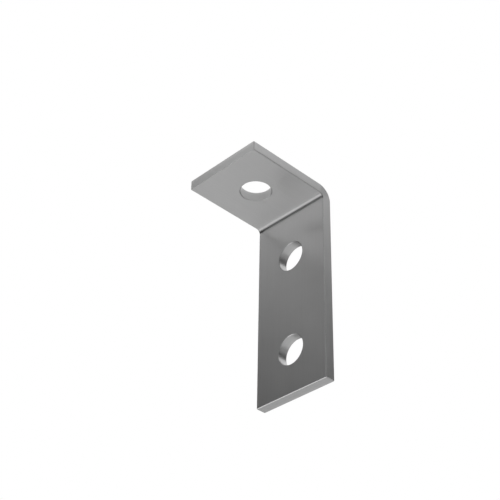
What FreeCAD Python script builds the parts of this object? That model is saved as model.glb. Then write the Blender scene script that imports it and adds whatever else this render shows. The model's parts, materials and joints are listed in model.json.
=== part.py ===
"""Strut angle fitting: a right-angle bracket made from one piece of flat bar.

The bar is cropped to length, punched with three round bolt holes and folded once, which
gives it a short leg with one hole and a long leg with two. Each leg seats on its outer face,
and the bolt heads lie inside the angle.

Millimetres. X runs across the bar and Z is up. The long leg hangs down with its seating face
looking along +Y. The short leg reaches out from its top along -Y with its seating face
looking up. The origin is midway between the two long-leg holes, on that leg's seating face.
"""
import FreeCAD, Part

import math
import os

# The flat bar
bar_width = 40.0
bar_thickness = 5.0
rolled_edge_radius = 0.5

# The two legs, each from the heel of the angle to its cropped end
short_leg_length = 48.0
long_leg_length = 98.0
cropped_edge_chamfer = 0.25

# The fold
fold_angle = 90.0
inside_bend_radius = 2.0

# The bolt holes
hole_diameter = 14.0
short_leg_hole_to_end = 21.0
long_leg_hole_to_end = 21.0
long_leg_hole_pitch = 48.0

# The rims of a punched hole: the punch enters at the seating face and draws that rim in, and
# the burr that it leaves where it comes out is taken off at 45 degrees.
punch_entry_radius = 0.6
punch_exit_chamfer = 0.25

across = FreeCAD.Vector(1, 0, 0)
out_of_seat = FreeCAD.Vector(0, 1, 0)
up = FreeCAD.Vector(0, 0, 1)

# Along the flat blank, which stands upright as the long leg does: the holes and the heel,
# then the line where the fold begins and the straight run that each leg has beside it
lower_hole = -long_leg_hole_pitch / 2
upper_hole = lower_hole + long_leg_hole_pitch
heel = lower_hole - long_leg_hole_to_end + long_leg_length
outside_bend_radius = inside_bend_radius + bar_thickness
setback = outside_bend_radius * math.tan(math.radians(fold_angle) / 2)
bend_line = heel - setback
long_leg_run = long_leg_length - setback
short_leg_run = short_leg_length - setback
short_leg_hole = bend_line + short_leg_run - short_leg_hole_to_end

fold_axis = FreeCAD.Vector(0, -outside_bend_radius, bend_line)


def bar_section():
    """The bar's cross-section at the bend line, with its corners rounded as rolled."""
    core_width = bar_width - 2 * rolled_edge_radius
    core_thickness = bar_thickness - 2 * rolled_edge_radius
    corner = FreeCAD.Vector(-core_width / 2, rolled_edge_radius - bar_thickness, bend_line)
    core = Part.makePlane(core_width, core_thickness, corner, up)
    return core.makeOffset2D(rolled_edge_radius)


def punch(height):
    """The solid that a punch takes out of the flat blank at this height.

    It enters at the seating face and goes through along -Y. Its profile flares at both faces,
    so cutting with it also leaves the drawn-in rim and the chamfered one. It stands out of
    the bar by the bar's own thickness on each side.
    """
    radius = hole_diameter / 2
    flare = radius + punch_entry_radius
    chamfered = radius + punch_exit_chamfer
    halfway_round = punch_entry_radius * math.sqrt(0.5)

    def at(from_axis, depth):
        return FreeCAD.Vector(from_axis, -depth, height)

    entry_rim = Part.Arc(
        at(flare, 0),
        at(flare - halfway_round, punch_entry_radius - halfway_round),
        at(radius, punch_entry_radius),
    ).toShape()
    rest_of_outline = Part.makePolygon([
        at(radius, punch_entry_radius),
        at(radius, bar_thickness - punch_exit_chamfer),
        at(chamfered, bar_thickness),
        at(chamfered, 2 * bar_thickness),
        at(0, 2 * bar_thickness),
        at(0, -bar_thickness),
        at(flare, -bar_thickness),
        at(flare, 0),
    ])
    profile = Part.Face(Part.Wire([entry_rim] + rest_of_outline.Edges))
    return profile.revolve(FreeCAD.Vector(0, 0, height), out_of_seat, 360)


def leg(direction, run, hole_heights):
    """A leg as it is on the flat blank, from the bend line to its cropped end."""
    bar = bar_section().extrude(direction * run)
    end = max(bar.Faces, key=lambda face: face.CenterOfMass.dot(direction))
    cropped = bar.makeChamfer(cropped_edge_chamfer, end.Edges)
    return cropped.cut([punch(height) for height in hole_heights])


def angle_fitting():
    """The whole fitting, as one solid: both legs, and the fold that turns the short one."""
    long_leg = leg(-up, long_leg_run, [lower_hole, upper_hole])
    fold = bar_section().revolve(fold_axis, across, fold_angle)
    short_leg = leg(up, short_leg_run, [short_leg_hole])
    short_leg.rotate(fold_axis, across, fold_angle)
    return long_leg.fuse([fold, short_leg]).removeSplitter()


os.makedirs("parts", exist_ok=True)
fitting = angle_fitting()
fitting.exportStep("parts/angle_fitting.step")
print(
    "angle_fitting",
    "valid" if fitting.isValid() else "NOT VALID",
    len(fitting.Solids), "solid",
    len(fitting.Faces), "faces",
    round(fitting.Volume), "mm3",
)
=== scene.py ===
import json
import math

import bpy
from mathutils import Matrix, Vector


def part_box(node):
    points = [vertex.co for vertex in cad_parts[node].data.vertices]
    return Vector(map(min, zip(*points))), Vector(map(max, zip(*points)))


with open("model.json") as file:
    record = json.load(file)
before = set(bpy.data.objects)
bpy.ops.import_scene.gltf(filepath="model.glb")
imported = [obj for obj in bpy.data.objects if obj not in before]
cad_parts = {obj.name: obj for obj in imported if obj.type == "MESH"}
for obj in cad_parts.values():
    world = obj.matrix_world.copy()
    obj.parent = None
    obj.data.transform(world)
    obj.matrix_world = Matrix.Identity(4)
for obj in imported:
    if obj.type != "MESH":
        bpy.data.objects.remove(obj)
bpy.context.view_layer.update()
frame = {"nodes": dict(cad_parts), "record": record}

mm = 0.001
quarterTurn = math.pi / 2
scene = bpy.context.scene
fitting = frame["nodes"]["angle_fitting"]
print("frame loaded,", len(fitting.data.polygons), "faces on the fitting")


# small helpers for building node trees

def addNode(tree, kind, inputs=None, **settings):
    node = tree.nodes.new("ShaderNode" + kind)
    for name, value in settings.items():
        setattr(node, name, value)
    for name, value in (inputs or {}).items():
        feed(tree, node.inputs[name], value)
    return node


def feed(tree, socket, value):
    if isinstance(value, bpy.types.NodeSocket):
        tree.links.new(value, socket)
    else:
        socket.default_value = value


def calc(tree, operation, *values):
    # one Math node; the values are numbers or sockets
    node = addNode(tree, "Math", operation=operation)
    for socket, value in zip(node.inputs, values):
        feed(tree, socket, value)
    return node.outputs[0]


def ramp(tree, value, start, end, low=0.0, high=1.0):
    # goes smoothly from low at start to high at end
    node = addNode(tree, "MapRange", interpolation_type="SMOOTHSTEP")
    for name, number in zip(("Value", "From Min", "From Max", "To Min", "To Max"),
                            (value, start, end, low, high)):
        feed(tree, node.inputs[name], number)
    return node.outputs["Result"]


def smallest(tree, *values):
    result = values[0]
    for value in values[1:]:
        result = calc(tree, "MINIMUM", result, value)
    return result


def vector(tree, x, y, z):
    return addNode(tree, "CombineXYZ", {"X": x, "Y": y, "Z": z}).outputs[0]


def noise(tree, where, scale, detail, roughness, distortion):
    # noise of about -1 to 1 round a middle of 0
    node = addNode(tree, "TexNoise", {"Vector": where, "Scale": scale, "Detail": detail,
                                      "Roughness": roughness, "Distortion": distortion})
    return calc(tree, "MULTIPLY_ADD", node.outputs["Fac"], 2.0, -1.0)


# the flat bar, as the shader needs it, in millimetres

lowCorner, highCorner = (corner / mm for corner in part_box("angle_fitting"))
mounts = {mount["name"]: mount for mount in frame["record"]["mounts"]}
bar = {
    "halfWidth": highCorner.x,
    "thickness": mounts["lower_hole"]["dims"]["length_mm"],
    "holeRadius": mounts["lower_hole"]["dims"]["r_mm"],
    "insideBend": 2.0,
    "neutralLine": 0.45,         # the depth that keeps its length in the fold, as a share
}
foldRadius = bar["insideBend"] + bar["thickness"]
foldAxis = (-foldRadius, highCorner.z - foldRadius)  # its Y and Z
foldLength = (bar["insideBend"] + bar["neutralLine"] * bar["thickness"]) * quarterTurn

# places along the bar when it is laid out flat, measured from where the fold begins
footAlong = lowCorner.z - foldAxis[1]
tipAlong = foldLength + foldAxis[0] - lowCorner.y
holesAlong = [
    mounts["lower_hole"]["pos_m"][2] / mm - foldAxis[1],
    mounts["upper_hole"]["pos_m"][2] / mm - foldAxis[1],
    foldLength + foldAxis[0] - mounts["short_leg_hole"]["pos_m"][1] / mm,
]


def barPlace(tree):
    # where a point lies on the flat bar, in millimetres: across it, along it round the fold,
    # and in from the face inside the angle; and how far round the fold it is, in radians
    point = addNode(tree, "TexCoord").outputs["Object"]
    scaled = addNode(tree, "VectorMath", {0: point, "Scale": 1 / mm}, operation="SCALE")
    x, y, z = addNode(tree, "SeparateXYZ", {0: scaled.outputs[0]}).outputs
    outwards = calc(tree, "SUBTRACT", y, foldAxis[0])
    upwards = calc(tree, "SUBTRACT", z, foldAxis[1])
    turn = calc(tree, "ARCTAN2", upwards, outwards)
    turn = calc(tree, "MINIMUM", calc(tree, "MAXIMUM", turn, 0.0), quarterTurn)
    cosine = calc(tree, "COSINE", turn)
    sine = calc(tree, "SINE", turn)
    fromAxis = calc(tree, "MULTIPLY_ADD", upwards, sine, calc(tree, "MULTIPLY", outwards, cosine))
    pastFold = calc(tree, "SUBTRACT", calc(tree, "MULTIPLY", upwards, cosine),
                    calc(tree, "MULTIPLY", outwards, sine))
    along = calc(tree, "MULTIPLY_ADD", turn, foldLength / quarterTurn, pastFold)
    through = calc(tree, "SUBTRACT", fromAxis, bar["insideBend"])
    return {"across": x, "along": along, "through": through, "turn": turn}


def barEdges(tree, place):
    # distances in millimetres: to the faces, the sides, the ends, the hole walls and the
    # nearest edge
    across, along, through = place["across"], place["along"], place["through"]
    fromFace = smallest(tree, through, calc(tree, "SUBTRACT", bar["thickness"], through))
    fromSide = calc(tree, "SUBTRACT", bar["halfWidth"], calc(tree, "ABSOLUTE", across))
    fromEnd = smallest(tree, calc(tree, "SUBTRACT", along, footAlong),
                       calc(tree, "SUBTRACT", tipAlong, along))
    centres = []
    for holeAlong in holesAlong:
        away = calc(tree, "SUBTRACT", along, holeAlong)
        squares = calc(tree, "MULTIPLY_ADD", away, away, calc(tree, "MULTIPLY", across, across))
        centres.append(calc(tree, "SQRT", squares))
    fromHole = calc(tree, "SUBTRACT", smallest(tree, *centres), bar["holeRadius"])
    fromOutline = smallest(tree, fromSide, fromEnd, fromHole)
    fromEdge = smallest(tree, calc(tree, "ADD", fromFace, fromOutline),
                        calc(tree, "ADD", fromSide, fromEnd))
    fromCut = smallest(tree, fromEnd, fromHole)
    return {"face": fromFace, "cut": fromCut, "edge": fromEdge}


# the finish: zinc plate on rolled bar, with painted shade on its edges, its cut walls and the
# fold's corner

zinc = {
    "grey": 0.57,
    "cloudGrey": 0.022,          # how far the plating's clouds go lighter and darker
    "streakGrey": 0.030,
    "edgeShadeGrey": -0.10,           # painted shade: the edges are darkened so that they catch less highlight
    "shearAndShadeGrey": -0.02,          # the sheared walls are darker: partly as they take the plating less well, partly painted shade in the holes and on the cut ends
    "fractureGrey": -0.03,       # and their torn part is darker still
    "bendGrey": -0.05,           # the middle of the fold is a little darker
    "cornerShadeGrey": -0.18,         # painted shade: a dark line in the fold's corner beside the long leg
    "roughness": 0.35,
    "cloudRoughness": 0.05,
    "streakRoughness": 0.07,
    "wearRoughness": 0.04,
    "fractureRoughness": -0.04,
    "burnishRoughness": -0.08,
    "bendRoughness": 0.10,
    "cornerRoughness": -0.08,
    "smoothest": 0.285,          # no part of it is glossier than this
    "grainHeight": 0.0035,       # the heights are in millimetres
    "peelHeight": 0.006,
    "shearHeight": 0.0012,
    "fractureHeight": 0.0024,

    # the patterns; a scale counts their waves in a millimetre
    "clouds": {"scale": 0.07, "detail": 3.0, "roughness": 0.55, "distortion": 0.6},
    "streaks": {"scale": 1.1, "detail": 3.0, "roughness": 0.6, "distortion": 0.0},
    "grain": {"scale": 5.0, "detail": 2.0, "roughness": 0.6, "distortion": 0.0},
    "peel": {"scale": 1.6, "detail": 3.0, "roughness": 0.5, "distortion": 0.0},
    "shear": {"scale": 3.2, "detail": 3.0, "roughness": 0.65, "distortion": 0.0},
    "tear": {"scale": 0.9, "detail": 2.0, "roughness": 0.5, "distortion": 0.0},
    "drawnOut": 0.02,            # streaks and grain are drawn out along the bar
    "shearedOut": 0.06,          # and shear marks through it

    # where each finish and each painted shade lies, from where it is not seen to where it is
    # full:
    # distances in millimetres, and in the fold the turn in radians
    "cutZone": (0.10, 0.02),     # from a hole's wall or a cropped end
    "wallZone": (0.15, 0.45),    # in from the faces
    "burnishDepth": 1.7,         # how deep the tool cuts before the metal tears
    "tearWaver": 0.35,           # how far the torn part's limit wavers
    "tearBlend": 0.15,
    "wearAndShadeZone": (0.5, 0.15),     # from an edge
    "wearAndShadeWaver": 0.225,          # and the limit of the worn edge with its painted shade
    "bendStart": (0.30, 0.60),   # from the long leg
    "bendEnd": (0.05, 0.30),     # from the short leg
    "cornerStart": (0.0, 0.04),  # from the long leg
    "cornerEnd": (0.80, 0.35),
    "cornerDepth": (0.5, 0.2),   # in from the face inside the angle
}


def makeZinc():
    material = bpy.data.materials.new("zincPlatedSteel")
    material.use_nodes = True
    tree = material.node_tree
    shader = tree.nodes["Principled BSDF"]
    shader.inputs["Metallic"].default_value = 1.0

    place = barPlace(tree)
    edges = barEdges(tree, place)
    across, along, through = place["across"], place["along"], place["through"]
    turn = place["turn"]
    stretched = calc(tree, "MULTIPLY", along, zinc["drawnOut"])
    squeezed = calc(tree, "MULTIPLY", through, zinc["shearedOut"])
    flat = vector(tree, across, along, through)
    drawnOut = vector(tree, across, stretched, through)
    sheared = vector(tree, across, along, squeezed)

    clouds = noise(tree, flat, **zinc["clouds"])
    streaks = noise(tree, drawnOut, **zinc["streaks"])
    grain = noise(tree, drawnOut, **zinc["grain"])
    peel = noise(tree, flat, **zinc["peel"])
    shear = noise(tree, sheared, **zinc["shear"])
    tear = noise(tree, sheared, **zinc["tear"])

    # sheared walls: a burnished band where the punch or blade went in, and then a torn one
    onCut = ramp(tree, edges["cut"], *zinc["cutZone"])
    onWall = calc(tree, "MULTIPLY", onCut, ramp(tree, edges["face"], *zinc["wallZone"]))
    cutTo = bar["thickness"] - zinc["burnishDepth"]
    tearLine = calc(tree, "MULTIPLY_ADD", tear, zinc["tearWaver"], cutTo)
    pastTear = calc(tree, "SUBTRACT", tearLine, through)
    isTorn = ramp(tree, pastTear, -zinc["tearBlend"], zinc["tearBlend"])
    torn = calc(tree, "MULTIPLY", onWall, isTorn)
    burnished = calc(tree, "SUBTRACT", onWall, torn)

    # the fold: its darker and rougher middle, and a line of painted shade in the corner beside
    # the long leg
    turnLeft = calc(tree, "SUBTRACT", quarterTurn, turn)
    bent = calc(tree, "MULTIPLY", ramp(tree, turn, *zinc["bendStart"]),
                ramp(tree, turnLeft, *zinc["bendEnd"]))
    cornerShadeMask = calc(tree, "MULTIPLY", ramp(tree, turn, *zinc["cornerStart"]),
                    ramp(tree, turn, *zinc["cornerEnd"]))
    cornerShadeMask = calc(tree, "MULTIPLY", cornerShadeMask, ramp(tree, through, *zinc["cornerDepth"]))

    # the edges: a little rougher from wear, and darkened with painted shade
    wearAndShadeBy = calc(tree, "MULTIPLY_ADD", peel, zinc["wearAndShadeWaver"], edges["edge"])
    wornAndShadedEdge = ramp(tree, wearAndShadeBy, *zinc["wearAndShadeZone"])

    grey = calc(tree, "MULTIPLY_ADD", clouds, zinc["cloudGrey"], zinc["grey"])
    grey = calc(tree, "MULTIPLY_ADD", streaks, zinc["streakGrey"], grey)
    # painted shade on the edges
    grey = calc(tree, "MULTIPLY_ADD", wornAndShadedEdge, zinc["edgeShadeGrey"], grey)
    # the sheared walls: darker plating in part, painted shade in part
    grey = calc(tree, "MULTIPLY_ADD", onWall, zinc["shearAndShadeGrey"], grey)
    grey = calc(tree, "MULTIPLY_ADD", torn, zinc["fractureGrey"], grey)
    grey = calc(tree, "MULTIPLY_ADD", bent, zinc["bendGrey"], grey)
    # painted shade: the dark line in the fold's corner
    grey = calc(tree, "MULTIPLY_ADD", cornerShadeMask, zinc["cornerShadeGrey"], grey)
    colour = addNode(tree, "CombineColor", {0: grey, 1: grey, 2: grey})
    feed(tree, shader.inputs["Base Color"], colour.outputs[0])

    rough = calc(tree, "MULTIPLY_ADD", clouds, zinc["cloudRoughness"], zinc["roughness"])
    rough = calc(tree, "MULTIPLY_ADD", streaks, zinc["streakRoughness"], rough)
    rough = calc(tree, "MULTIPLY_ADD", wornAndShadedEdge, zinc["wearRoughness"], rough)
    rough = calc(tree, "MULTIPLY_ADD", torn, zinc["fractureRoughness"], rough)
    rough = calc(tree, "MULTIPLY_ADD", burnished, zinc["burnishRoughness"], rough)
    rough = calc(tree, "MULTIPLY_ADD", bent, zinc["bendRoughness"], rough)
    rough = calc(tree, "MULTIPLY_ADD", cornerShadeMask, zinc["cornerRoughness"], rough)
    rough = calc(tree, "MAXIMUM", rough, zinc["smoothest"])
    feed(tree, shader.inputs["Roughness"], rough)

    height = calc(tree, "MULTIPLY", grain, zinc["grainHeight"])
    height = calc(tree, "MULTIPLY_ADD", peel, zinc["peelHeight"], height)
    shearMarks = calc(tree, "MULTIPLY", shear, onWall)
    tearMarks = calc(tree, "MULTIPLY", shear, torn)
    height = calc(tree, "MULTIPLY_ADD", shearMarks, zinc["shearHeight"], height)
    height = calc(tree, "MULTIPLY_ADD", tearMarks, zinc["fractureHeight"], height)
    bump = addNode(tree, "Bump", {"Height": height, "Distance": mm, "Strength": 1.0})
    feed(tree, shader.inputs["Normal"], bump.outputs[0])
    return material


fitting.data.materials[0] = makeZinc()
print("zinc plate made")


# the floor, well below the camera, and a grey wall round the set, darkest a little above the
# fitting. The wall gives the metal something to reflect, and a dark card in front of it draws
# the line of the fold. The camera and the floor don't see them.

floor = {  # metres
    "height": -0.45,
    "radius": 6.0,
    "grey": 0.70,
    "farGrey": 0.96,             # it goes paler towards the horizon
    "paleFrom": 0.9,
    "paleTo": 4.0,
    "roughness": 0.7,
}
wall = {
    "radius": 0.8,
    "top": 0.665,
    "greys": [  # up the wall, each with its height
        (-0.45, 0.49), (-0.05, 0.44), (0.12, 0.19),
        (0.28, 0.145), (0.45, 0.22), (0.665, 0.33),
    ],
    "roughness": 0.8,
}
card = {
    "radius": 0.75,
    "start": 192.0,              # azimuths in degrees
    "end": 244.0,
    "bottom": -0.16,
    "top": 0.28,
    "grey": 0.02,
}


def matte(name, grey, roughness):
    material = bpy.data.materials.new(name)
    material.use_nodes = True
    shader = material.node_tree.nodes["Principled BSDF"]
    shader.inputs["Base Color"].default_value = (grey, grey, grey, 1)
    shader.inputs["Roughness"].default_value = roughness
    shader.inputs["Specular IOR Level"].default_value = 0.0
    return material


def makeFloorPaper():
    material = matte("paleFloor", floor["grey"], floor["roughness"])
    tree = material.node_tree
    point = addNode(tree, "TexCoord").outputs["Object"]
    away = addNode(tree, "VectorMath", {0: point}, operation="LENGTH").outputs["Value"]
    grey = ramp(tree, away, floor["paleFrom"], floor["paleTo"], floor["grey"], floor["farGrey"])
    colour = addNode(tree, "CombineColor", {0: grey, 1: grey, 2: grey})
    feed(tree, tree.nodes["Principled BSDF"].inputs["Base Color"], colour.outputs[0])
    return material


def makeWallPaper():
    # the greys blend from one height to the next
    material = matte("wallPaper", wall["greys"][0][1], wall["roughness"])
    tree = material.node_tree
    point = addNode(tree, "TexCoord").outputs["Object"]
    height = addNode(tree, "SeparateXYZ", {0: point}).outputs["Z"]
    share = addNode(tree, "MapRange", {"Value": height, "From Min": floor["height"],
                                       "From Max": wall["top"]}).outputs["Result"]
    blend = addNode(tree, "ValToRGB", {"Fac": share})
    stops = blend.color_ramp.elements
    while len(stops) < len(wall["greys"]):
        stops.new(1.0)
    for stop, (place, grey) in zip(stops, wall["greys"]):
        stop.position = (place - floor["height"]) / (wall["top"] - floor["height"])
        stop.color = (grey, grey, grey, 1)
    feed(tree, tree.nodes["Principled BSDF"].inputs["Base Color"], blend.outputs["Color"])
    return material


def addStage(name, outline, material, start=0.0, end=360.0):
    # turns an outline of (radius, height) points round the set's middle, from one azimuth in
    # degrees to another
    steps = 96
    points = []
    for radius, height in outline:
        for step in range(steps + 1):
            angle = math.radians(start + (end - start) * step / steps)
            points.append((radius * math.cos(angle), radius * math.sin(angle), height))
    faces = []
    for row in range(len(outline) - 1):
        for step in range(steps):
            here = row * (steps + 1) + step
            faces.append((here, here + 1, here + steps + 2, here + steps + 1))
    mesh = bpy.data.meshes.new(name)
    mesh.from_pydata(points, [], faces)
    mesh.materials.append(material)
    made = bpy.data.objects.new(name, mesh)
    scene.collection.objects.link(made)
    return made


floorOutline = [(0.0, floor["height"]), (floor["radius"], floor["height"])]
wallOutline = [(wall["radius"], floor["height"]), (wall["radius"], wall["top"])]
cardOutline = [(card["radius"], card["bottom"]), (card["radius"], card["top"])]
darkPaper = matte("darkPaper", card["grey"], wall["roughness"])
addStage("floor", floorOutline, makeFloorPaper())
greyWall = addStage("greyWall", wallOutline, makeWallPaper())
darkCard = addStage("darkCard", cardOutline, darkPaper, card["start"], card["end"])
for unseen in (greyWall, darkCard):
    unseen.visible_camera = False
    unseen.visible_diffuse = False
    unseen.visible_shadow = False
print("floor, wall and card made")


# the light: a plain white sky all round, and a softbox low down that shines into the angle

sky = {"strength": 1.0}
softbox = {
    "azimuth": 216.0,
    "elevation": -43.0,
    "distance": 0.44,
    "size": (0.35, 0.25),
    "aim": (0.0, -0.02, 0.02),
    "radiance": 0.81,            # how bright its face is, where the sky is 1
}


def makeSky():
    world = bpy.data.worlds.new("whiteStudio")
    world.use_nodes = True
    background = world.node_tree.nodes["Background"]
    background.inputs["Color"].default_value = (1, 1, 1, 1)
    background.inputs["Strength"].default_value = sky["strength"]
    scene.world = world


def makeSoftbox():
    width, height = softbox["size"]
    data = bpy.data.lights.new("lowSoftbox", "AREA")
    data.shape = "RECTANGLE"
    data.size = width
    data.size_y = height
    data.energy = softbox["radiance"] * math.pi * width * height
    made = bpy.data.objects.new("lowSoftbox", data)
    scene.collection.objects.link(made)
    azimuth, elevation = math.radians(softbox["azimuth"]), math.radians(softbox["elevation"])
    away = Vector((math.cos(azimuth) * math.cos(elevation),
                   math.sin(azimuth) * math.cos(elevation),
                   math.sin(elevation)))
    turned = away.to_track_quat("Z", "Y").to_matrix().to_4x4()
    place = Matrix.Translation(Vector(softbox["aim"]) + away * softbox["distance"])
    made.matrix_world = place @ turned
    made.visible_camera = False


makeSky()
makeSoftbox()
print("light made")


# the camera, as fitted to the photograph's edges, fold and hole rims

camera = {
    "azimuth": 46.36,
    "elevation": -35.33,
    "roll": 1.28,
    "distance": 0.56574,
    "aim": (-0.0230, -0.0079, 0.0372),
    "lens": 88.73,
    "sensor": 36.0,
    "clipStart": 0.01,
}


def makeCamera():
    data = bpy.data.cameras.new("camera")
    data.lens = camera["lens"]
    data.sensor_width = camera["sensor"]
    data.clip_start = camera["clipStart"]
    made = bpy.data.objects.new("camera", data)
    scene.collection.objects.link(made)
    azimuth, elevation = math.radians(camera["azimuth"]), math.radians(camera["elevation"])
    back = Vector((math.sin(azimuth) * math.cos(elevation),
                   -math.cos(azimuth) * math.cos(elevation),
                   math.sin(elevation)))
    turned = (-back).to_track_quat("-Z", "Y").to_matrix().to_4x4()
    roll = Matrix.Rotation(math.radians(camera["roll"]), 4, "Z")
    place = Matrix.Translation(Vector(camera["aim"]) + back * camera["distance"])
    made.matrix_world = place @ turned @ roll
    scene.camera = made


makeCamera()
scene.view_settings.view_transform = "Standard"
print("camera made")
